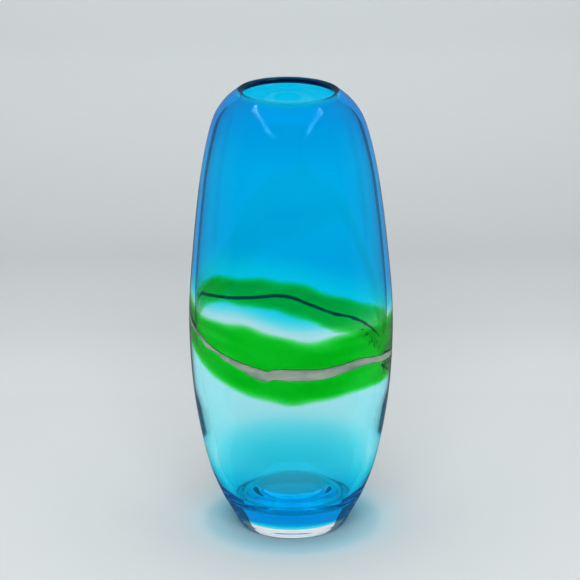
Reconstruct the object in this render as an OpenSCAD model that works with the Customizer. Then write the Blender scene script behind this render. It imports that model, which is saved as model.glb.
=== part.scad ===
// Blown glass vase made of fused layers, standing on a thick clear foot.
// The front faces -Y. Angles round the vase start at the front and grow towards +X.

/* [Outline] */
// Overall height
height = 300; // [250:5:350]
// Radius of the flat underside
foot_r = 36; // [34:0.5:38]
// Largest outer radius, at the belly
belly_r = 67.5; // [66:0.5:69]
// Radius of the mouth at its narrowest
mouth_r = 29.5; // [28:0.5:31]

/* [Glass layers] */
// Thickness of the rounded lip, twice the clear casing's
lip_t = 4.6; // [4.4:0.1:5]
// Height of the clear foot, below all the coloured glass
foot_h = 8; // [8:0.5:11]
// Height of the raised middle of the hollow's floor
floor_z = 27; // [25:1:30]
// Thickness of the upper blue glass
blue_t = 0.6; // [0.3:0.1:0.8]
// Thickness of the turquoise glass on the bottom
turquoise_t = 2; // [1:0.5:2]

/* [Green ring] */
// Greatest thickness of the green glass
green_t = 0.5; // [0.3:0.05:0.5]
// Depth of the green glass's middle under the outer surface
green_depth = 1.75; // [1.75:0.05:1.8]

/* [White trail] */
// Thickness of the white trail
trail_t = 0.7; // [0.4:0.1:0.7]
// Depth of the trail's outer face under the outer surface
trail_depth = 0.35; // [0.3:0.05:0.35]
// Thickness of the dark thread under the trail
edging_t = 0.25; // [0.15:0.05:0.25]
// Width of dark thread that shows on each side of the trail
edging_w = 0.6; // [0.3:0.1:0.8]

/* [Dark flecks] */
// Thickness of a fleck
fleck_t = 0.8; // [0.5:0.1:0.9]

/* [Hidden] */

// The outline's heights are those of a vase 300 mm tall.
k = height / 300;
casing_t = lip_t / 2;
span_steps = 5;
lip_steps = 12;
// Direction from the lip's centre to where the outer wall meets its round edge
lip_a = 52;
lip_c = [mouth_r + casing_t, height - casing_t];
lip_out = casing_t * [cos(lip_a), sin(lip_a)];
lip_run = [-sin(lip_a), cos(lip_a)];

// Outer wall, from the edge of the underside up to the lip: radius, height
outer_marks = [
  [foot_r, 0],
  [foot_r + 5, 9.5 * k],
  [49, 25 * k],
  [57.6, 50 * k],
  [belly_r - 2.2, 95 * k],
  [belly_r, 145 * k],
  [belly_r - 3, 190 * k],
  [58.7, 240 * k],
  [51.4, 274.5 * k],
  [44, 289.5 * k],
  lip_c + lip_out
];
// Wall thickness at a few heights
wall_marks = [[62 * k, 6.4], [95 * k, 5.1], [145 * k, 4.4], [240 * k, 4.1], [height, lip_t]];
// Where the hollow's bowl ends and the even wall begins
bowl_top = 62 * k;
// Where the blue glass fades out, downwards
blue_low = 158 * k;
blue_full = 185 * k;
// Where the turquoise glass fades out, upwards
turquoise_low = 20 * k;
turquoise_high = 78 * k;

// Heights of the green ring's edges, every 30 degrees from the back
green_top = [144, 151.5, 160.5, 162, 156, 158.5, 151, 149.5, 150, 147, 140, 137] * k;
green_foot = [123.5, 134, 145, 142, 126, 115, 109.5, 112, 112.5, 112, 116, 115.5] * k;
// Points along the white trail, from behind the right side round to the front of it: angle, height, half width
trail_marks = [
  [-256, 124, 0.9],
  [-244, 125, 0.9],
  [-225, 126.3, 0.9],
  [-207, 126, 0.9],
  [-192, 130.2, 0.9],
  [-177, 135.9, 1],
  [-154, 137.6, 0.9],
  [-137, 141.8, 0.9],
  [-116, 151, 1],
  [-103, 156.5, 1],
  [-90, 153.5, 1.1],
  [-76, 147, 1.3],
  [-63, 143.5, 1.6],
  [-54, 139.7, 1.8],
  [-47, 138, 0.9],
  [-40, 135.5, 1.7],
  [-32, 132.8, 2.2],
  [-19, 128.3, 3.8],
  [-13.5, 127.1, 3.5],
  [-9, 128.7, 3.5],
  [4, 128.2, 4.1],
  [18, 128, 3.5],
  [34, 129.8, 2.9],
  [43, 130.3, 2.6],
  [53, 128.6, 2.1],
  [64, 126.2, 2.2],
  [76, 124.2, 2.1],
  [86, 122.6, 1.7]
];
trail_span_steps = 3;
trail_tip = 14;
green_steps = 60;

// Flecks, each with angle, height, length, width and tilt
flecks = [
  [63.5, 121, 4.2, 2.4, 20],
  [67.6, 119.4, 4.4, 2.8, -10],
  [70.8, 115.9, 4.2, 2.2, 50],
  [72.6, 119.3, 3.4, 1.8, -40],
  [75.6, 113.4, 3.2, 1.6, 30],
  [77, 118.9, 4.4, 1.7, -55],
  [81, 117.5, 4.4, 1.6, -60],
  [103, 117, 4.4, 1.4, 60],
  [107.5, 118.5, 4.6, 1.5, 55],
  [112, 114.5, 6, 1.4, 75],
  [116, 116.2, 6.4, 1.4, 70],
  [119.6, 113, 6, 1.2, 80],
  [123.4, 118.6, 5, 1.4, 40],
  [128.5, 120.3, 4.4, 1.2, 12]
];
fleck_depth = 0.85;
fleck_sides = 6;

// Catmull-Rom curve through points, with a phantom point before the first and after the last
function bend(a, b, c, d, t) =
  0.5 * (2 * b + (c - a) * t + (2 * a - 5 * b + 4 * c - d) * t * t + (3 * b - a - 3 * c + d) * t * t * t);
function smooth(points, before, after, steps) = let (
  all = concat([before], points, [after]),
  last = len(all) - 3
) concat(
  [for (i = [0 : last - 1], j = [0 : steps - 1]) bend(all[i], all[i + 1], all[i + 2], all[i + 3], j / steps)],
  [all[last + 1]]
);
// Value at an angle of a list that is spaced evenly round the vase, starting at the back
function around(values, angle) = let (
  count = len(values),
  place = (((angle + 180) % 360 + 360) % 360) / 360 * count,
  i = floor(place)
) bend(values[(i + count - 1) % count], values[i % count], values[(i + 1) % count], values[(i + 2) % count], place - i);
function ease(x) = let (t = min(1, max(0, x))) t * t * (3 - 2 * t);
function unit(v) = v / norm(v);
// Direction into the glass at point i of a curve that runs up the outside
function inward(points, i) = let (
  run = unit(points[min(i + 1, len(points) - 1)] - points[max(i - 1, 0)])
) [-run[1], run[0]];
function reversed(list) = [for (i = [len(list) - 1 : -1 : 0]) list[i]];

// Outer wall
outer_last = len(outer_marks) - 1;
outer_reach = norm(outer_marks[outer_last] - outer_marks[outer_last - 1]);
outer = smooth(
  outer_marks,
  outer_marks[0] - [2, 5] * k,
  outer_marks[outer_last - 1] + 2 * outer_reach * lip_run,
  span_steps
);
outer_count = len(outer);
outer_at = [for (p = outer) [p[1], p[0]]];
// The lip's round edge, and the seam in it between the casing and the bubble
function lip_arc(from_a, to_a) = [
  for (i = [1 : lip_steps - 1]) lip_c + casing_t * [
    cos(from_a + (to_a - from_a) * i / lip_steps),
    sin(from_a + (to_a - from_a) * i / lip_steps)
  ]
];
lip_tip = lip_c + casing_t * lip_run;

// Face where the casing meets the glass inside it, from the axis outwards and up
seam_side = [
  for (i = [0 : outer_count - 2])
    if (outer[i][1] > foot_h + 6 * k) outer[i] + casing_t * inward(outer, i)
];
seam_floor = smooth(
  [[18, foot_h], [34, foot_h + 0.1], [39.5, foot_h + 2.2], seam_side[0]],
  [0, foot_h],
  seam_side[1],
  3
);
seam = concat([[0, foot_h]], seam_floor, [for (i = [1 : len(seam_side) - 1]) seam_side[i]], [lip_c]);
// Thickness of coloured glass on that face
function blue_at(z) = blue_t * ease((z - blue_low) / (blue_full - blue_low)) * ease((height - 3 * k - z) / (6 * k));
function turquoise_at(z) = turquoise_t * (1 - ease((z - turquoise_low) / (turquoise_high - turquoise_low)));
function colour_at(i) = let (z = seam[i][1]) blue_at(z) + turquoise_at(z);
function above_seam(i) = i == 0
  ? seam[0] + [0, colour_at(0)]
  : seam[i] + colour_at(i) * inward(seam, i);
blue_ids = [for (i = [0 : len(seam) - 1]) if (blue_at(seam[i][1]) > 0.001) i];
turquoise_ids = [for (i = [0 : len(seam) - 1]) if (turquoise_at(seam[i][1]) > 0.001) i];

// Hollow, from its floor up to the lip
hollow_side = [
  for (i = [0 : outer_count - 2])
    if (outer[i][1] > bowl_top) outer[i] + lookup(outer[i][1], wall_marks) * inward(outer, i)
];
// Its floor rises in the middle, inside a round trough
floor_marks = [
  [0, floor_z * k],
  [14, (floor_z - 0.2) * k],
  [23, (floor_z - 1) * k],
  [28.5, (floor_z - 4) * k],
  [33, (floor_z - 6.4) * k],
  [37.5, (floor_z - 5.4) * k],
  [42, (floor_z - 0.8) * k],
  [46.2, (floor_z + 7.5) * k],
  [50.3, (floor_z + 19.5) * k],
  hollow_side[0]
];
hollow_bowl = smooth(floor_marks, [-floor_marks[1][0], floor_marks[1][1]], hollow_side[1], 3);
hollow = concat(hollow_bowl, [for (i = [1 : len(hollow_side) - 1]) hollow_side[i]], [lip_c - lip_out]);

// Point in the glass at an angle, a height and a depth under the outer surface
function in_glass(angle, z, depth) = let (
  r = lookup(z, outer_at) - depth
) [r * sin(angle), -r * cos(angle), z];

// Solid through a row of sections that each have the same number of points
module through(sections, closed) {
  rows = len(sections);
  sides = len(sections[0]);
  spans = closed ? rows : rows - 1;
  skin = [
    for (i = [0 : spans - 1], j = [0 : sides - 1])
      let (
        i2 = (i + 1) % rows,
        j2 = (j + 1) % sides,
        a = i * sides + j,
        b = i * sides + j2,
        c = i2 * sides + j2,
        d = i2 * sides + j
      ) each [[a, b, c], [a, c, d]]
  ];
  ends = closed ? [] : [
    [for (j = [sides - 1 : -1 : 0]) j],
    [for (j = [0 : sides - 1]) (rows - 1) * sides + j]
  ];
  polyhedron([for (s = sections, p = s) p], concat(skin, ends));
}

// Section of the green ring: a lens, thin at its upper and lower edges
function green_section(angle) = let (
  top = around(green_top, angle),
  foot = around(green_foot, angle),
  bulge = green_t / 2,
  marks = [[0, 0], [0.2, -0.8], [0.5, -1], [0.8, -0.8], [1, 0], [0.8, 0.8], [0.5, 1], [0.2, 0.8]]
) [for (m = marks) in_glass(angle, foot + (top - foot) * m[0], green_depth + bulge * m[1])];

// The trail, thinning to a point at each end
trail_last = len(trail_marks) - 1;
trail_ends = [trail_marks[0][0], trail_marks[trail_last][0]];
trail_line = smooth(
  trail_marks,
  2 * trail_marks[0] - trail_marks[1],
  2 * trail_marks[trail_last] - trail_marks[trail_last - 1],
  trail_span_steps
);
function trail_half(mark) = mark[2] * (
  0.25 + 0.75 * ease((mark[0] - trail_ends[0]) / trail_tip) * ease((trail_ends[1] - mark[0]) / trail_tip)
);
function trail_section(mark) = let (
  angle = mark[0],
  z = mark[1] * k,
  w = trail_half(mark),
  mid = trail_depth + trail_t / 2,
  back = trail_depth + trail_t
) [
  in_glass(angle, z - w, mid),
  in_glass(angle, z - 0.6 * w, trail_depth),
  in_glass(angle, z + 0.6 * w, trail_depth),
  in_glass(angle, z + w, mid),
  in_glass(angle, z + 0.6 * w, back),
  in_glass(angle, z - 0.6 * w, back)
];
edging_gap = 0.08;
function edging_section(mark) = let (
  angle = mark[0],
  z = mark[1] * k,
  w = trail_half(mark) + edging_w,
  front = trail_depth + trail_t + edging_gap
) [
  in_glass(angle, z - w, front),
  in_glass(angle, z + w, front),
  in_glass(angle, z + w, front + edging_t),
  in_glass(angle, z - w, front + edging_t)
];

module green_body() {
  through([for (i = [0 : green_steps - 1]) green_section(i * 360 / green_steps)], true);
}
module trail_body() {
  through([for (mark = trail_line) trail_section(mark)], false);
}
module edging_body() {
  through([for (mark = trail_line) edging_section(mark)], false);
}
// A fleck is a flat bead with a pointed end each way
module fleck(angle, z, length, width, tilt) {
  middle = in_glass(angle, z * k, fleck_depth);
  ring = [for (j = [0 : fleck_sides - 1]) [0, fleck_t / 2 * cos(j * 360 / fleck_sides), width / 2 * sin(j * 360 / fleck_sides)]];
  points = concat([[-length / 2, 0, 0], [length / 2, 0, 0]], ring);
  translate(middle) rotate([0, 0, angle]) rotate([0, tilt, 0]) polyhedron(points, [
    for (j = [0 : fleck_sides - 1])
      let (a = 2 + j, b = 2 + (j + 1) % fleck_sides) each [[0, b, a], [1, a, b]]
  ]);
}
module fleck_bodies() {
  for (f = flecks) fleck(f[0], f[1], f[2], f[3], f[4]);
}

// Clear outer glass, thick at the foot, with room inside for what lies in it
module clear_casing() {
  color("aliceblue", 0.35) difference() {
    rotate_extrude() polygon(concat([[0, 0]], outer, lip_arc(lip_a, lip_a + 90), [lip_tip], reversed(seam)));
    green_body();
    trail_body();
    edging_body();
    fleck_bodies();
  }
}

// Pale aqua first gather round the hollow
module inner_bubble() {
  color("paleturquoise", 0.5) rotate_extrude() polygon(concat(
    [for (i = [0 : len(seam) - 1]) above_seam(i)],
    [lip_tip],
    lip_arc(lip_a + 90, lip_a + 180),
    reversed(hollow)
  ));
}

// Deep blue glass of the shoulder and upper wall
module upper_blue_overlay() {
  color("deepskyblue", 0.7) rotate_extrude() polygon(concat(
    [seam[blue_ids[0] - 1]],
    [for (i = blue_ids) seam[i]],
    [seam[blue_ids[len(blue_ids) - 1] + 1]],
    reversed([for (i = blue_ids) above_seam(i)])
  ));
}

// Turquoise cup under and round the hollow's bowl
module lower_turquoise_overlay() {
  color("turquoise", 0.7) rotate_extrude() polygon(concat(
    [for (i = turquoise_ids) seam[i]],
    [seam[turquoise_ids[len(turquoise_ids) - 1] + 1]],
    reversed([for (i = turquoise_ids) above_seam(i)])
  ));
}

// Wavy ring of green glass
module green_ring() {
  color("limegreen", 0.8) green_body();
}

// White thread wound once round the vase
module white_trail() {
  color("whitesmoke") trail_body();
}

// Dark thread that shows as a line on both sides of the white one
module dark_trail_edging() {
  color("darkslategray") edging_body();
}

// Dark bits where the trail's two ends meet
module dark_flecks() {
  color("dimgray") fleck_bodies();
}

clear_casing();
inner_bubble();
upper_blue_overlay();
lower_turquoise_overlay();
green_ring();
white_trail();
dark_trail_edging();
dark_flecks();
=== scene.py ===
"""Blown glass vase in fused layers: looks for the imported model. Metres, +Z up, the front faces -Y."""
import math
from bisect import bisect_left

import bmesh
import bpy
from mathutils import Matrix, Vector, noise


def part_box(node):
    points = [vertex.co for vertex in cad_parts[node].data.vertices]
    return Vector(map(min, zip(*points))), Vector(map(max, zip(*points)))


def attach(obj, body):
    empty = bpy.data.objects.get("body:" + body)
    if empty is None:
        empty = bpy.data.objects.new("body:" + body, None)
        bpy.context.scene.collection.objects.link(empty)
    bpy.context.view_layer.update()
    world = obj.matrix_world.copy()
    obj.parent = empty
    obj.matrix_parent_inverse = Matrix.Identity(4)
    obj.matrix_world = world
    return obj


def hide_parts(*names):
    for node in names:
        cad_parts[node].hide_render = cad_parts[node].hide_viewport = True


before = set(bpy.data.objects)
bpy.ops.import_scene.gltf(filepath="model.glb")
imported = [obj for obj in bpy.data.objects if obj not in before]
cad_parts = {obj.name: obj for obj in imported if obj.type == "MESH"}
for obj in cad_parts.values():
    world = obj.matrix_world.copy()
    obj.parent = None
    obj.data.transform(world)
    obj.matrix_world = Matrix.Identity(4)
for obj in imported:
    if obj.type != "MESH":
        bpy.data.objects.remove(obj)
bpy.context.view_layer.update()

# ---------------------------------------------------------------- sizes
# Outlines below are in millimetres of a vase 300 mm tall, and K turns them into metres of this one.
CASING_LOW, CASING_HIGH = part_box("clear_casing")
HEIGHT = 300
K = (CASING_HIGH[2] - CASING_LOW[2]) / HEIGHT
AROUND = 256
SPAN_STEPS = 8

FOOT_R = 36
BELLY_R = (CASING_HIGH[0] - CASING_LOW[0]) / 2 / K
MOUTH_R = 29.5
LIP_T = 4.6
CASING_T = LIP_T / 2
FOOT_H = 8
FLOOR_Z = 27
HEEL_R = 1.2
BLUE_T = 0.6
TURQUOISE_T = 2
LIP_ANGLE = math.radians(52)
LIP_STEPS = 14
BOWL_TOP = 62
# Hairline gap that keeps one layer's skin off the next
HAIR = 0.03

# Heights of the green ring's edges, every 30 degrees from the back
GREEN_TOP = [144, 151.5, 160.5, 162, 156, 158.5, 151, 149.5, 150, 147, 140, 137]
GREEN_FOOT = [123.5, 134, 145, 142, 126, 115, 109.5, 112, 112.5, 112, 116, 115.5]
GREEN_T = 0.5
GREEN_DEPTH = 1.75
# Points along the white trail: angle, height and half width.
# It runs from the right round the back and the front to the right again.
TRAIL_MARKS = [
    (-256, 124, 0.9), (-244, 125, 0.9), (-225, 126.3, 0.9), (-207, 126, 0.9), (-192, 130.2, 0.9),
    (-177, 135.9, 1), (-154, 137.6, 0.9), (-137, 141.8, 0.9), (-116, 151, 1), (-103, 156.5, 1),
    (-90, 153.5, 1.1), (-76, 147, 1.3), (-63, 143.5, 1.6), (-54, 139.7, 1.8), (-47, 138, 0.9),
    (-40, 135.5, 1.7), (-32, 132.8, 2.2), (-19, 128.3, 3.8), (-13.5, 127.1, 3.5), (-9, 128.7, 3.5),
    (4, 128.2, 4.1), (18, 128, 3.5), (34, 129.8, 2.9), (43, 130.3, 2.6), (53, 128.6, 2.1),
    (64, 126.2, 2.2), (76, 124.2, 2.1), (86, 122.6, 1.7),
]
TRAIL_START, TRAIL_END = TRAIL_MARKS[0][0], TRAIL_MARKS[-1][0]
TRAIL_TIP = 14
TRAIL_DEPTH, TRAIL_T = 0.35, 0.7
EDGING_GAP, EDGING_T, EDGING_W = 0.08, 0.25, 0.3
# Flecks, each with angle, height, length, width and tilt
FLECKS = [
    (63.5, 121, 4.2, 2.4, 20), (67.6, 119.4, 4.4, 2.8, -10), (70.8, 115.9, 4.2, 2.2, 50),
    (72.6, 119.3, 3.4, 1.8, -40), (75.6, 113.4, 3.2, 1.6, 30), (77, 118.9, 4.4, 1.7, -55),
    (81, 117.5, 4.4, 1.6, -60), (103, 117, 4.4, 1.4, 60), (107.5, 118.5, 4.6, 1.5, 55),
    (112, 114.5, 6, 1.4, 75), (116, 116.2, 6.4, 1.4, 70), (119.6, 113, 6, 1.2, 80),
    (123.4, 118.6, 5, 1.4, 40), (128.5, 120.3, 4.4, 1.2, 12),
]
FLECK_T = 0.8
FLECK_DEPTH = 0.85

# ---------------------------------------------------------------- curves
def bend(a, b, c, d, t):
    """Catmull-Rom between b and c."""
    square, cube = 2 * a - 5 * b + 4 * c - d, 3 * b - a - 3 * c + d
    return 0.5 * (2 * b + (c - a) * t + square * t * t + cube * t ** 3)


def smooth_line(points, before, after, steps):
    line = [Vector(p) for p in [before, *points, after]]
    spans = len(line) - 3
    out = [bend(*line[i:i + 4], j / steps) for i in range(spans) for j in range(steps)]
    return out + [line[-2]]


def around(values, angle):
    """Value of an evenly spaced ring of numbers at an angle in degrees, starting at the back."""
    count = len(values)
    place = (angle + 180) % 360 / 360 * count
    i = int(place)
    return bend(*[values[(i + step) % count] for step in (-1, 0, 1, 2)], place - i)


def ease(x):
    x = min(1, max(0, x))
    return x * x * (3 - 2 * x)


def lookup(x, table):
    """Straight-line reading of a table of (key, value) rows."""
    i = min(max(bisect_left(table, (x,)), 1), len(table) - 1)
    (x0, y0), (x1, y1) = table[i - 1], table[i]
    return y0 + (y1 - y0) * min(1, max(0, (x - x0) / (x1 - x0)))


def inward(points, i):
    """Direction into the glass at point i of a line that runs up the outside."""
    run = (points[min(i + 1, len(points) - 1)] - points[max(i - 1, 0)]).normalized()
    return Vector((-run.y, run.x))


def spline_rows(rows, steps):
    before = [2 * a - b for a, b in zip(rows[0], rows[1])]
    after = [2 * a - b for a, b in zip(rows[-1], rows[-2])]
    return smooth_line(rows, before, after, steps)


def turn(angle):
    return Vector((math.cos(angle), math.sin(angle)))


TRAIL_LINE = spline_rows(TRAIL_MARKS, 6)
TRAIL_HEIGHT = [(p[0], p[1]) for p in TRAIL_LINE]
TRAIL_HALF = [(p[0], p[2]) for p in TRAIL_LINE]


# ---------------------------------------------------------------- outlines
LIP_C = Vector((MOUTH_R + CASING_T, HEIGHT - CASING_T))
LIP_OUT = CASING_T * turn(LIP_ANGLE)
LIP_RUN = turn(LIP_ANGLE + math.pi / 2)
LIP_TIP = LIP_C + CASING_T * LIP_RUN
OUTER_MARKS = [
    (FOOT_R, 0), (FOOT_R + 5, 9.5), (49, 25), (57.6, 50), (BELLY_R - 2.2, 95), (BELLY_R, 145),
    (BELLY_R - 3, 190), (58.7, 240), (51.4, 274.5), (44, 289.5), tuple(LIP_C + LIP_OUT),
]
FLOOR_MARKS = [
    (14, -0.2), (23, -1), (28.5, -4), (33, -6.4), (37.5, -5.4), (42, -0.8), (46.2, 7.5), (50.3, 19.5),
]
WALL_MARKS = [(62, 6.4), (95, 5.1), (145, 4.4), (240, 4.1), (HEIGHT, LIP_T)]


def outer_line():
    reach = (Vector(OUTER_MARKS[-1]) - Vector(OUTER_MARKS[-2])).length
    after = Vector(OUTER_MARKS[-2]) + 2 * reach * LIP_RUN
    return smooth_line(OUTER_MARKS, Vector(OUTER_MARKS[0]) - Vector((2, 5)), after, SPAN_STEPS)


OUTER = outer_line()
OUTER_AT = [(p.y, p.x) for p in OUTER]


def lip_arc(start, end):
    return [LIP_C + CASING_T * turn(start + (end - start) * i / LIP_STEPS) for i in range(1, LIP_STEPS)]


def seam_line():
    """Face where the casing meets the glass inside it, from the axis outwards and up."""
    side = [p + CASING_T * inward(OUTER, i) for i, p in enumerate(OUTER[:-1]) if p.y > FOOT_H + 6]
    floor = smooth_line(
        [(18, FOOT_H), (34, FOOT_H + 0.1), (39.5, FOOT_H + 2.2), side[0]], (0, FOOT_H), side[1], 4
    )
    return [Vector((0, FOOT_H)), *floor, *side[1:], LIP_C]


def hollow_line():
    """The hollow, from its floor up to the lip."""
    side = [
        p + lookup(p.y, WALL_MARKS) * inward(OUTER, i) for i, p in enumerate(OUTER[:-1]) if p.y > BOWL_TOP
    ]
    bowl_marks = [(0, FLOOR_Z), *[(r, FLOOR_Z + rise) for r, rise in FLOOR_MARKS], side[0]]
    bowl = smooth_line(bowl_marks, (-14, FLOOR_Z - 0.2), side[1], 6)
    return [*bowl, *side[1:], LIP_C - LIP_OUT]


SEAM = seam_line()
HOLLOW = hollow_line()


def blue_at(z):
    return BLUE_T * ease((z - 138) / 45) * ease((HEIGHT - 3 - z) / 6)


def turquoise_at(z):
    return TURQUOISE_T * (1 - ease((z - 20) / 58))


def above_seam(i, thickness):
    into = Vector((0, 1)) if i == 0 else inward(SEAM, i)
    return SEAM[i] + thickness * into


# ---------------------------------------------------------------- hand blown shape
# Fall of the rim for each unit of distance to the right
RIM_DROP = 0.018


def blown(x, y, z):
    """A point in metres of a vase that isn't quite round, from a point in millimetres of a round one."""
    angle = math.atan2(x, -y)
    rise = ease(z / 40)
    swell = 0.0035 * math.sin(2 * angle + 0.9)
    swell += 0.0025 * math.sin(3 * angle - z / 60)
    swell += 0.002 * math.sin(2 * angle + z / 35)
    grow = 1 + swell * rise
    drop = RIM_DROP * x * ease((z - 235) / 60)
    return Vector((x * grow, y * grow, z - drop)) * K


def in_glass(angle, z, depth):
    """A point at an angle in degrees from the front, a height, and a depth under the outer surface."""
    r = lookup(z, OUTER_AT) - depth
    a = math.radians(angle)
    return blown(r * math.sin(a), -r * math.cos(a), z)


def put(name, verts, faces, materials, smooth=True):
    mesh = bpy.data.meshes.new(name)
    mesh.from_pydata([tuple(v) for v in verts], [], faces)
    mesh.validate()
    mesh.update()
    obj = bpy.data.objects.new(name, mesh)
    bpy.context.scene.collection.objects.link(obj)
    for m in materials:
        mesh.materials.append(m)
    for p in mesh.polygons:
        p.use_smooth = smooth
    return obj


def revolve(line, closed=False):
    """Points and faces of a line spun round the axis. An end on the axis is one point."""
    verts, rows = [], []
    for p in line:
        if p.x < 1e-6:
            rows.append([len(verts)])
            verts.append(blown(0, 0, p.y))
            continue
        rows.append(range(len(verts), len(verts) + AROUND))
        for j in range(AROUND):
            a = math.tau * j / AROUND
            verts.append(blown(p.x * math.sin(a), -p.x * math.cos(a), p.y))
    faces, rings = [], []
    pairs = list(zip(rows, rows[1:])) + ([(rows[-1], rows[0])] if closed else [])
    for ring, (low, high) in enumerate(pairs):
        for j in range(AROUND):
            j2 = (j + 1) % AROUND
            face = [low[j % len(low)], low[j2 % len(low)], high[j2 % len(high)], high[j % len(high)]]
            face = list(dict.fromkeys(face))
            if len(face) > 2:
                faces.append(face)
                rings.append(ring)
    return verts, faces, rings


def angle_of(p):
    return math.degrees(math.atan2(p.x, -p.y))


def strength_points(obj, name, fn):
    """Stores a number on each point of a mesh, from its angle and its height in millimetres."""
    layer = obj.data.attributes.new(name, "FLOAT", "POINT")
    layer.data.foreach_set("value", [fn(angle_of(v.co), v.co.z / K) for v in obj.data.vertices])


# ---------------------------------------------------------------- how much of each colour is where
# How far above the green the blue starts, how tall its fade is, and where the turquoise fades
BLUE_START, BLUE_FADE = 3, 24
TURQUOISE_START, TURQUOISE_FADE = 14, 46
# Half the height of the fade at each edge of the green
GREEN_FADE = 3.5
GREEN_WANDER = 2.2


def blue_strength(angle, z):
    edge = around(GREEN_TOP, angle) + BLUE_START
    return ease((z - edge) / BLUE_FADE)


def turquoise_strength(angle, z):
    return 1 - ease((z - TURQUOISE_START) / TURQUOISE_FADE)


def green_strength(angle, z):
    """Full in the middle of the ring and half at its edges, with pulled streaks along it."""
    a = math.radians(angle)
    wander = GREEN_WANDER * noise.noise(Vector((math.sin(a) * 3, math.cos(a) * 3, z / 14)))
    below = (around(GREEN_TOP, angle) + wander + GREEN_FADE - z) / (2 * GREEN_FADE)
    above = (z + wander - around(GREEN_FOOT, angle) + GREEN_FADE) / (2 * GREEN_FADE)
    streak = noise.noise(Vector((math.sin(a) * 2, math.cos(a) * 2, z / 5 + a)))
    return ease(below) * ease(above) * (0.88 + 0.3 * streak)


def trail_cover(angle, z):
    """1 over the white trail and its edging, and 0 a little way off it."""
    for turned in (angle, angle - 360):
        if TRAIL_START <= turned <= TRAIL_END:
            middle, half = trail_at(turned)
            return 1 - ease((abs(z - middle) - half - 0.3) / 1.2)
    return 0


# ---------------------------------------------------------------- materials
# What is left of red, green and blue light after one wall of each glass
BLUE = (0.003, 0.72, 0.99)
TURQUOISE = (0.025, 0.76, 0.96)
GREEN = (0.002, 0.58, 0.003)
# Share of each colour that the casing carries, from what bled into it, and its share of the turquoise
BLED, BLED_LOW = 0.3, 0.5
# Absorption of red, green and blue light by the aqua glass, per metre
AQUA_PER_M = (125, 8, 1)
# Extra depth of colour where the wall thickens into the shoulder and lip
SHOULDER = (0.5, 0.68, 0.86)
SHOULDER_START, SHOULDER_RISE = 252, 36


def nodes_of(name):
    m = bpy.data.materials.new(name)
    m.use_nodes = True
    return m, m.node_tree, m.node_tree.nodes["Principled BSDF"]


def link(tree, a, out, b, into):
    tree.links.new(a.outputs[out], b.inputs[into])


def glass(name, ior):
    m, tree, shader = nodes_of(name)
    shader.inputs["Transmission Weight"].default_value = 1
    shader.inputs["Roughness"].default_value = 0
    shader.inputs["IOR"].default_value = ior
    shader.inputs["Base Color"].default_value = (1, 1, 1, 1)
    return m, tree, shader


def object_noise(tree, scale, stretch, detail=3.0):
    """Noise on the object's own coordinates, stretched by a factor along each axis."""
    place = tree.nodes.new("ShaderNodeTexCoord")
    mapping = tree.nodes.new("ShaderNodeMapping")
    mapping.inputs["Scale"].default_value = stretch
    texture = tree.nodes.new("ShaderNodeTexNoise")
    texture.inputs["Scale"].default_value = scale
    texture.inputs["Detail"].default_value = detail
    link(tree, place, "Object", mapping, "Vector")
    link(tree, mapping, "Vector", texture, "Vector")
    return texture


def attribute(tree, name):
    node = tree.nodes.new("ShaderNodeAttribute")
    node.attribute_name = name
    return node


def math_node(tree, operation, *values):
    node = tree.nodes.new("ShaderNodeMath")
    node.operation = operation
    for i, value in enumerate(values):
        if isinstance(value, (int, float)):
            node.inputs[i].default_value = value
        else:
            tree.links.new(value, node.inputs[i])
    return node.outputs[0]


def tint_ramp(tree, amount, tint, stops=6):
    """Colour of light through an amount, from 0 to 1, of a glass whose full colour is tint."""
    ramp = tree.nodes.new("ShaderNodeValToRGB")
    band = ramp.color_ramp
    while len(band.elements) < stops:
        band.elements.new(0.5)
    for i, stop in enumerate(band.elements):
        share = i / (stops - 1)
        stop.position = share
        stop.color = (*[c ** share for c in tint], 1)
    tree.links.new(amount, ramp.inputs["Fac"])
    return ramp.outputs["Color"]


def layer_glass(name, tint, streak, scale, stretch):
    """Coloured glass inside clear glass: no surface of its own, only colour that varies in streaks."""
    m, tree, shader = glass(name, 1.0)
    amount = attribute(tree, "strength").outputs["Fac"]
    texture = object_noise(tree, scale, stretch)
    wander = math_node(tree, "MULTIPLY_ADD", texture.outputs["Fac"], streak, 1 - streak / 2)
    mixed = math_node(tree, "MULTIPLY", amount, wander)
    tree.links.new(tint_ramp(tree, mixed, tint), shader.inputs["Base Color"])
    return m


def power(tint, share):
    return tuple(c ** share for c in tint)


def casing_glass():
    """Clear glass, with a little of each colour that bled into it and a faint painted blue glow."""
    m, tree, shader = glass("clear_glass", 1.5)
    shader.inputs["Specular Tint"].default_value = (0.08, 0.5, 0.7, 1)
    # Painted glow: a faint blue emission, not a lamp, that lifts the blue seen in the glass
    shader.inputs["Emission Color"].default_value = (0, 0.25, 1, 1)
    shader.inputs["Emission Strength"].default_value = 0.006
    link(tree, attribute(tree, "bleed"), "Color", shader, "Base Color")
    return m


def joint_glass():
    """Where clear glass is fused to the next layer there is no surface to see."""
    return glass("fused_joint", 1.0)[0]


def aqua_glass():
    """Faintly aqua glass. Only its skin on the hollow bends light, since the rest is fused."""
    m, tree, shader = glass("aqua_glass", 1.5)
    skin = attribute(tree, "skin").outputs["Fac"]
    tree.links.new(math_node(tree, "MULTIPLY_ADD", skin, 0.5, 1.0), shader.inputs["IOR"])
    volume = tree.nodes.new("ShaderNodeVolumeAbsorption")
    density = max(AQUA_PER_M)
    volume.inputs["Density"].default_value = density
    volume.inputs["Color"].default_value = (*[1 - c / density for c in AQUA_PER_M], 1)
    link(tree, volume, "Volume", tree.nodes["Material Output"], "Volume")
    return m


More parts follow.
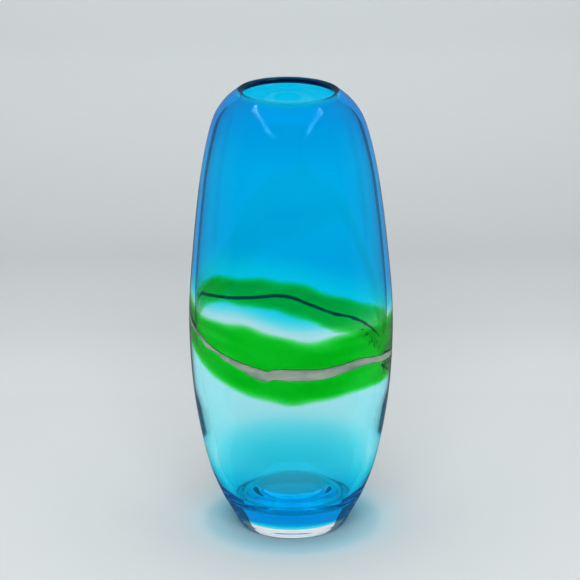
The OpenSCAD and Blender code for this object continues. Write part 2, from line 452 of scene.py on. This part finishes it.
def mottled_glass(name, scale, stretch, low, high, roughness):
    """Opaque glass that varies between two colours, each with the place of its stop."""
    m, tree, shader = nodes_of(name)
    texture = object_noise(tree, scale, stretch)
    ramp = tree.nodes.new("ShaderNodeValToRGB")
    for stop, (position, colour) in zip(ramp.color_ramp.elements, (low, high)):
        stop.position = position
        stop.color = (*colour, 1)
    link(tree, texture, "Fac", ramp, "Fac")
    link(tree, ramp, "Color", shader, "Base Color")
    shader.inputs["Roughness"].default_value = roughness
    return m, tree, shader, ramp


def white_glass():
    """Pale opaque glass with a slight painted glow in its own colours, which stands in for light reaching
    it inside the casing.
    """
    low, high = (0.35, (0.24, 0.50, 0.32)), (0.65, (0.76, 0.84, 0.74))
    m, tree, shader, ramp = mottled_glass("white_glass", 40, (1, 1, 3), low, high, 0.4)
    # Painted glow: the trail's own colours emitted faintly, in place of light it would get through the
    # glass
    link(tree, ramp, "Color", shader, "Emission Color")
    shader.inputs["Emission Strength"].default_value = 0.12
    return m


def dark_glass():
    low, high = (0.0, (0.0, 0.08, 0.01)), (1.0, (0.01, 0.16, 0.03))
    return mottled_glass("dark_glass", 60, (1, 1, 1), low, high, 0.4)[0]


def fleck_glass():
    low, high = (0.5, (0.005, 0.01, 0.01)), (0.68, (0.55, 0.6, 0.58))
    return mottled_glass("fleck_glass", 220, (1, 1, 1), low, high, 0.35)[0]


# ---------------------------------------------------------------- pieces
# Height over which the colour starts above the clear foot
FOOT_FADE = 3


def bleed_colour(angle, z):
    """Colour in the casing at a place: a share of the colour of the glass behind it."""
    colour = [1, 1, 1]
    clear = 1 - trail_cover(angle, z)
    for tint, share, amount in (
        (BLUE, BLED, blue_strength(angle, z)),
        (TURQUOISE, BLED_LOW, turquoise_strength(angle, z) * ease((z - FOOT_H) / FOOT_FADE)),
        (GREEN, BLED, green_strength(angle, z)),
    ):
        colour = [c * t ** (2 * share * amount * clear) for c, t in zip(colour, tint)]
    deeper = ease((z - SHOULDER_START) / SHOULDER_RISE)
    colour = [c * t ** deeper for c, t in zip(colour, SHOULDER)]
    return (*colour, 1)


# Fine rows of the casing, where the trail and the green cross it
BAND_LOW, BAND_STEP, BAND_ROWS = 100, 0.8, 90


def clear_casing():
    heel_middle = Vector((FOOT_R - HEEL_R, HEEL_R))
    heel = [heel_middle + HEEL_R * turn(math.radians(a)) for a in (-90, -60, -30, 0)]
    fine = [
        Vector((lookup(z, OUTER_AT), z)) for z in [BAND_LOW + i * BAND_STEP for i in range(BAND_ROWS)]
    ]
    side = [p for p in OUTER if HEEL_R + 0.8 < p.y < BAND_LOW - 1]
    side += fine + [p for p in OUTER if p.y > fine[-1].y + 1]
    line = [Vector((0, 0)), Vector((12, 0)), Vector((24, 0)), *heel, *side]
    line += lip_arc(LIP_ANGLE, LIP_ANGLE + math.pi / 2) + [LIP_TIP]
    skin_rings = len(line) - 1
    line += list(reversed(SEAM))
    verts, faces, rings = revolve(line)
    obj = put("clear_casing_glass", verts, faces, [casing_glass(), joint_glass()])
    for p, ring in zip(obj.data.polygons, rings):
        p.material_index = 0 if ring < skin_rings else 1
    layer = obj.data.color_attributes.new("bleed", "FLOAT_COLOR", "POINT")
    for v, d in zip(obj.data.vertices, layer.data):
        d.color = bleed_colour(angle_of(v.co), v.co.z / K)
    return obj


def inner_bubble():
    line = [above_seam(i, blue_at(p.y) + turquoise_at(p.y) + 2 * HAIR) for i, p in enumerate(SEAM[:-1])]
    line[0].x = 0
    line += [LIP_C]
    joint_rings = len(line)
    line += [LIP_TIP] + lip_arc(LIP_ANGLE + math.pi / 2, LIP_ANGLE + math.pi) + list(reversed(HOLLOW))
    verts, faces, rings = revolve(line)
    obj = put("inner_bubble_glass", verts, faces, [aqua_glass()])
    layer = obj.data.attributes.new("skin", "FLOAT", "FACE")
    layer.data.foreach_set("value", [0.0 if ring < joint_rings else 1.0 for ring in rings])
    return obj


def overlay(name, ids, thickness, material, strength):
    """A shell of coloured glass that lies on the seam."""
    under = [above_seam(i, HAIR) for i in ids]
    over = [above_seam(i, max(thickness(SEAM[i].y), 0.02) + HAIR) for i in ids]
    line = under + list(reversed(over))
    from_axis = ids[0] == 0
    if from_axis:
        line[0].x = line[-1].x = 0
    verts, faces, rings = revolve(line, closed=not from_axis)
    obj = put(name, verts, faces, [material])
    strength_points(obj, "strength", strength)
    return obj


def upper_blue():
    ids = [i for i, p in enumerate(SEAM[:-1]) if blue_at(p.y) > 0.001]
    tint = power(BLUE, 1 - BLED)
    material = layer_glass("blue_glass", tint, 0.12, 30, (1.2, 1.2, 0.25))
    return overlay("upper_blue_glass", ids, blue_at, material, blue_strength)


def lower_turquoise():
    ids = [i for i, p in enumerate(SEAM[:-1]) if turquoise_at(p.y) > 0.001]
    tint = power(TURQUOISE, 1 - BLED_LOW)
    material = layer_glass("turquoise_glass", tint, 0.5, 18, (1, 1, 4))
    shader = material.node_tree.nodes["Principled BSDF"]
    # Painted glow: a faint cyan emission, not a lamp, that brightens the turquoise
    shader.inputs["Emission Color"].default_value = (0, 0.8, 1, 1)
    shader.inputs["Emission Strength"].default_value = 0.008
    return overlay("lower_turquoise_glass", ids, turquoise_at, material, turquoise_strength)


def ring_solid(sections, closed):
    """Points and faces of a solid through a row of sections."""
    sides, rows = len(sections[0]), len(sections)
    verts = [p for s in sections for p in s]
    faces = []
    for i in range(rows if closed else rows - 1):
        a, b = i * sides, (i + 1) % rows * sides
        faces += [[a + j, b + j, b + (j + 1) % sides, a + (j + 1) % sides] for j in range(sides)]
    if not closed:
        faces += [list(range(sides)), list(reversed(range((rows - 1) * sides, rows * sides)))]
    return verts, faces


def green_ring():
    steps, half = 240, 14

    def section(angle):
        top, foot = around(GREEN_TOP, angle) + GREEN_FADE, around(GREEN_FOOT, angle) - GREEN_FADE
        out = []
        for j in range(2 * half):
            a = math.pi * j / half
            across = (1 - math.cos(a)) / 2
            bulge = GREEN_T / 2 * math.sin(a)
            out.append(in_glass(angle, foot + (top - foot) * across, GREEN_DEPTH - bulge))
        return out

    verts, faces = ring_solid([section(360 * i / steps) for i in range(steps)], True)
    tint = power(GREEN, 1 - BLED)
    obj = put("green_ring_glass", verts, faces, [layer_glass("green_glass", tint, 0.3, 14, (1, 1, 3))])
    strength_points(obj, "strength", green_strength)
    return obj


def trail_at(angle):
    """Height of the trail's middle and half its width, at an angle."""
    taper = ease((angle - TRAIL_START) / TRAIL_TIP) * ease((TRAIL_END - angle) / TRAIL_TIP)
    return lookup(angle, TRAIL_HEIGHT), lookup(angle, TRAIL_HALF) * (0.25 + 0.75 * taper)


def ragged(angle, seed):
    """A small wander along the trail, the same each run."""
    a = math.radians(angle)
    return noise.noise(Vector((math.sin(a) * 9, math.cos(a) * 9, seed)))


def trail_ribbon(name, extra, front, thick, sides, material):
    """A flattened thread along the trail, extra wider on each side, with its face front deep."""
    steps = 420
    sections = []
    for i in range(steps + 1):
        angle = TRAIL_START + (TRAIL_END - TRAIL_START) * i / steps
        middle, half = trail_at(angle)
        up = half * (1 + 0.08 * ragged(angle, 1)) + extra * (1 + 0.5 * ragged(angle, 7))
        down = half * (1 + 0.08 * ragged(angle, 3)) + extra * (1 + 0.5 * ragged(angle, 9))
        z = middle + 0.2 * ragged(angle, 5)
        section = []
        for j in range(sides):
            a = math.tau * j / sides
            c, s = math.cos(a), math.sin(a)
            wide = math.copysign(abs(c) ** 0.7, c)
            deep = math.copysign(abs(s) ** 0.7, s)
            height = z + wide * (up if wide > 0 else down)
            section.append(in_glass(angle, height, front + thick / 2 * (1 - deep)))
        sections.append(section)
    verts, faces = ring_solid(sections, False)
    return put(name, verts, faces, [material])


def white_trail():
    return trail_ribbon("white_trail_glass", 0, TRAIL_DEPTH, TRAIL_T, 14, white_glass())


def trail_edging():
    front = TRAIL_DEPTH + TRAIL_T + EDGING_GAP
    return trail_ribbon("dark_edging_glass", EDGING_W, front, EDGING_T, 12, dark_glass())


def dark_flecks():
    verts, faces = [], []
    rows, sides = 9, 10
    for n, (angle, z, length, width, tilt) in enumerate(FLECKS):
        lean = math.radians(tilt)
        start = len(verts)
        r = lookup(z, OUTER_AT)
        for i in range(rows + 1):
            t = math.pi * i / rows
            for j in range(sides):
                a = math.tau * j / sides
                lump = 1 + 0.25 * noise.noise(Vector((n * 5.1, i * 0.9, j * 1.3)))
                along = -math.cos(t) * length / 2
                across = math.sin(t) * math.cos(a) * width / 2 * lump
                deep = math.sin(t) * math.sin(a) * FLECK_T / 2
                side = along * math.cos(lean) + across * math.sin(lean)
                up = -along * math.sin(lean) + across * math.cos(lean)
                verts.append(in_glass(angle + math.degrees(side / r), z + up, FLECK_DEPTH - deep))
        for i in range(rows):
            for j in range(sides):
                j2 = (j + 1) % sides
                low, high = start + i * sides, start + (i + 1) * sides
                faces.append([low + j, low + j2, high + j2, high + j])
    obj = put("dark_fleck_glass", verts, faces, [fleck_glass()])
    weld(obj)
    return obj


def weld(obj):
    bm = bmesh.new()
    bm.from_mesh(obj.data)
    bmesh.ops.remove_doubles(bm, verts=bm.verts, dist=1e-6)
    bmesh.ops.recalc_face_normals(bm, faces=bm.faces)
    bm.to_mesh(obj.data)
    bm.free()


# ---------------------------------------------------------------- scene
CAMERA_FAR = 6.0 * HEIGHT
CAMERA_UP = 2.65 * HEIGHT
CAMERA_DOWN = math.radians(19.34)
CAMERA_ROLL = math.radians(-0.613)
CAMERA_SHIFT = -0.53
FRAME_PX = 580
FOCAL_PX = 2891

# Backdrop and floor, in metres. The floor lies a hair under the foot.
WALL_BACK, WALL_ROUND, WALL_HIGH, WALL_HALF = 0.45, 0.22, 1.6, 0.30
FLOOR_FRONT, FLOOR_HALF = 0.5, 0.42
FLOOR_GAP = 0.0004
PAPER = (0.60, 0.625, 0.628)
# Painted shade on the paper: share of its colour at heights up the backdrop, and the height the ramp runs
# to
PAPER_SHADE_SHARE = [(0.0, 1.0), (0.02, 0.88), (0.06, 0.78), (0.2, 1.08)]
PAPER_TOP = 0.25
# Painted glow that brightens the paper where it is seen through the glass
PAPER_GLOW_THROUGH_GLASS = 0.2

# Two rows of ceiling lamps on each side, which only show as reflections
STRIP_FRONT, STRIP_BACK, STRIP_HIGH = -0.75, 0.08, 0.75
STRIP_X, STRIP_COUNT = 0.32, 15
STRIP_ROW_GAP, STRIP_LAMP = 0.036, 0.007
STRIP_GLOW = 45
# Ring above the floor that stands in for light focused on it by the foot
GLOW_IN, GLOW_OUT, GLOW_HIGH, GLOW_STEPS = 0.047, 0.062, 0.016, 64
GLOW, GLOW_COLOUR = 1.1, (0.0, 0.62, 0.85)
# Brightness of the room, of what the camera sees of it, and of its mirror image all round and in front
ROOM, ROOM_SEEN = 0.48, 0.6
ROOM_COLOUR = (0.93, 0.97, 1.0)
MIRRORED, MIRRORED_FRONT = 0.4, 0.06


def camera():
    data = bpy.data.cameras.new("camera")
    data.sensor_width = 36
    data.lens = data.sensor_width * FOCAL_PX / FRAME_PX
    data.shift_x = CAMERA_SHIFT / FRAME_PX
    data.clip_start, data.clip_end = 0.01, 20
    cam = bpy.data.objects.new("camera", data)
    spin = Matrix.Rotation(math.pi / 2 - CAMERA_DOWN, 4, "X") @ Matrix.Rotation(CAMERA_ROLL, 4, "Z")
    cam.matrix_world = Matrix.Translation(Vector((0, -CAMERA_FAR, CAMERA_UP)) * K) @ spin
    bpy.context.scene.collection.objects.link(cam)
    bpy.context.scene.camera = cam


def paper():
    """Pale paper, with painted shade that makes it a little darker in the bend than on the floor and up
    the wall, and a painted glow where it is seen through the glass.
    """
    m, tree, shader = nodes_of("paper")
    place = tree.nodes.new("ShaderNodeTexCoord")
    split = tree.nodes.new("ShaderNodeSeparateXYZ")
    link(tree, place, "Object", split, "Vector")
    ramp = tree.nodes.new("ShaderNodeValToRGB")
    band = ramp.color_ramp
    band.elements.new(0.5)
    band.elements.new(0.5)
    for stop, (height, share) in zip(band.elements, PAPER_SHADE_SHARE):
        stop.position = height / PAPER_TOP
        stop.color = (*[c * share for c in PAPER], 1)
    tree.links.new(math_node(tree, "MULTIPLY", split.outputs["Z"], 1 / PAPER_TOP), ramp.inputs["Fac"])
    link(tree, ramp, "Color", shader, "Base Color")
    shader.inputs["Roughness"].default_value = 0.9
    # Painted glow: the paper emits light only on rays that come through the glass
    rays = tree.nodes.new("ShaderNodeLightPath")
    shader.inputs["Emission Color"].default_value = (0.8, 0.88, 1, 1)
    through = math_node(tree, "MULTIPLY", rays.outputs["Is Transmission Ray"], PAPER_GLOW_THROUGH_GLASS)
    tree.links.new(through, shader.inputs["Emission Strength"])
    return m


def sheet_of(name, line, half, material):
    """A sheet that follows a line of (y, z) points and reaches half to each side of the middle."""
    verts = [(x, y, z - FLOOR_GAP) for y, z in line for x in (-half, half)]
    faces = [[2 * i, 2 * i + 1, 2 * i + 3, 2 * i + 2] for i in range(len(line) - 1)]
    obj = put(name, verts, faces, [material])
    obj.visible_glossy = False


def sweep():
    """Floor, and a backdrop that curves up out of it behind the vase."""
    material = paper()
    foot = WALL_BACK - WALL_ROUND
    sheet_of("floor", [(-FLOOR_FRONT, 0), (foot, 0)], FLOOR_HALF, material)
    bends = [math.pi / 2 * i / 16 for i in range(17)]
    curve = [(foot + WALL_ROUND * math.sin(a), WALL_ROUND * (1 - math.cos(a))) for a in bends]
    sheet_of("backdrop", [*curve, (WALL_BACK, WALL_HIGH)], WALL_HALF, material)


def area(name, place, aim, size, power_w):
    data = bpy.data.lights.new(name, "AREA")
    data.shape = "RECTANGLE"
    data.size, data.size_y = size
    data.energy = power_w
    obj = bpy.data.objects.new(name, data)
    obj.location = place
    obj.rotation_euler = (Vector(aim) - Vector(place)).to_track_quat("-Z", "Y").to_euler()
    bpy.context.scene.collection.objects.link(obj)
    return obj


def glowing(name, colour, strength):
    m = bpy.data.materials.new(name)
    m.use_nodes = True
    tree = m.node_tree
    tree.nodes.clear()
    glow = tree.nodes.new("ShaderNodeEmission")
    glow.inputs["Color"].default_value = (*colour, 1)
    glow.inputs["Strength"].default_value = strength
    out = tree.nodes.new("ShaderNodeOutputMaterial")
    link(tree, glow, "Emission", out, "Surface")
    return m


def strip(x):
    """Two rows of small lamps overhead that run from front to back."""
    verts, faces = [], []
    step = (STRIP_BACK - STRIP_FRONT) / (STRIP_COUNT - 1)
    for i in range(STRIP_COUNT):
        for side in (0, 1):
            cx = x + (side - 0.5) * STRIP_ROW_GAP
            cy = STRIP_FRONT + step * (i + side / 2)
            start = len(verts)
            verts += [
                (cx + STRIP_LAMP * sx, cy + STRIP_LAMP * sy, STRIP_HIGH)
                for sx, sy in ((-1, -1), (-1, 1), (1, 1), (1, -1))
            ]
            faces.append([start, start + 1, start + 2, start + 3])
    obj = put("lamp_strip", verts, faces, [glowing("lamp", (1, 1, 1), STRIP_GLOW)])
    obj.visible_camera = obj.visible_diffuse = obj.visible_transmission = False


def glow_ring():
    """Light that the foot spreads on the table, given back by a ring that only the table sees."""
    verts, faces = [], []
    for j in range(GLOW_STEPS):
        a = math.tau * j / GLOW_STEPS
        for r in (GLOW_IN, GLOW_OUT):
            verts.append((r * math.sin(a), -r * math.cos(a), GLOW_HIGH))
        b = (j + 1) % GLOW_STEPS
        faces.append([2 * j, 2 * j + 1, 2 * b + 1, 2 * b])
    obj = put("glow_ring", verts, faces, [glowing("glow", GLOW_COLOUR, GLOW)])
    obj.visible_camera = obj.visible_glossy = False
    obj.visible_transmission = obj.visible_shadow = False


def room():
    """Pale room, darker below. In the glass its mirror image is dimmer, most of all in front."""
    world = bpy.data.worlds.new("room")
    world.use_nodes = True
    tree = world.node_tree
    back = tree.nodes["Background"]
    back.inputs["Color"].default_value = (*ROOM_COLOUR, 1)
    place = tree.nodes.new("ShaderNodeTexCoord")
    split = tree.nodes.new("ShaderNodeSeparateXYZ")
    link(tree, place, "Generated", split, "Vector")
    above = math_node(tree, "MULTIPLY_ADD", split.outputs["Z"], 8.0, 4.1)
    above = math_node(tree, "MINIMUM", math_node(tree, "MAXIMUM", above, 0.35), 1.0)
    seen = math_node(tree, "MULTIPLY", above, ROOM)
    in_front = math_node(tree, "LESS_THAN", split.outputs["Y"], -0.25)
    not_overhead = math_node(tree, "LESS_THAN", split.outputs["Z"], 0.8)
    in_front = math_node(tree, "MULTIPLY", in_front, not_overhead)
    mirrored = math_node(tree, "MULTIPLY_ADD", in_front, MIRRORED_FRONT - MIRRORED, MIRRORED)
    rays = tree.nodes.new("ShaderNodeLightPath")
    dimmer = math_node(tree, "SUBTRACT", mirrored, 1.0)
    dimmer = math_node(tree, "MULTIPLY_ADD", rays.outputs["Is Glossy Ray"], dimmer, 1.0)
    seen = math_node(tree, "MULTIPLY", seen, dimmer)
    direct = math_node(tree, "MULTIPLY", rays.outputs["Is Camera Ray"], ROOM_SEEN)
    mix = math_node(tree, "MAXIMUM", direct, seen)
    tree.links.new(mix, back.inputs["Strength"])
    bpy.context.scene.world = world


def lights():
    """Soft lights from above and in front, lamps that show as reflections, and the pale room."""
    top = area("top_light", (0, 0, 1.15), (0, 0, 0), (1.1, 0.9), 7.6)
    front = area("front_light", (0, -1.1, 1.2), (0, 0.4, 0.45), (0.9, 0.5), 11)
    for lamp in (top, front):
        lamp.visible_glossy = False
    front.visible_transmission = False
    strip(-STRIP_X)
    strip(STRIP_X)
    glow_ring()
    room()


def render_feel():
    """Bounce limits and colour handling that layered glass needs."""
    scene = bpy.context.scene
    scene.view_settings.view_transform = "Standard"
    scene.cycles.max_bounces = 48
    scene.cycles.transmission_bounces = 48
    scene.cycles.transparent_max_bounces = 48
    scene.cycles.glossy_bounces = 12
    scene.cycles.diffuse_bounces = 6
    scene.cycles.caustics_refractive = True
    scene.cycles.caustics_reflective = True
    scene.cycles.sample_clamp_indirect = 8


def build():
    made = [
        (clear_casing(), "clear_casing", "clear_glass"),
        (inner_bubble(), "inner_bubble", "aqua_glass"),
        (upper_blue(), "upper_blue_overlay", "blue_glass"),
        (lower_turquoise(), "lower_turquoise_overlay", "turquoise_glass"),
        (green_ring(), "green_ring", "green_glass"),
        (white_trail(), "white_trail", "white_glass"),
        (trail_edging(), "dark_trail_edging", "dark_glass"),
        (dark_flecks(), "dark_flecks", "fleck_glass"),
    ]
    for piece, node, slot in made:
        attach(piece, "root")
        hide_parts(node)


camera()
sweep()
lights()
render_feel()
build()
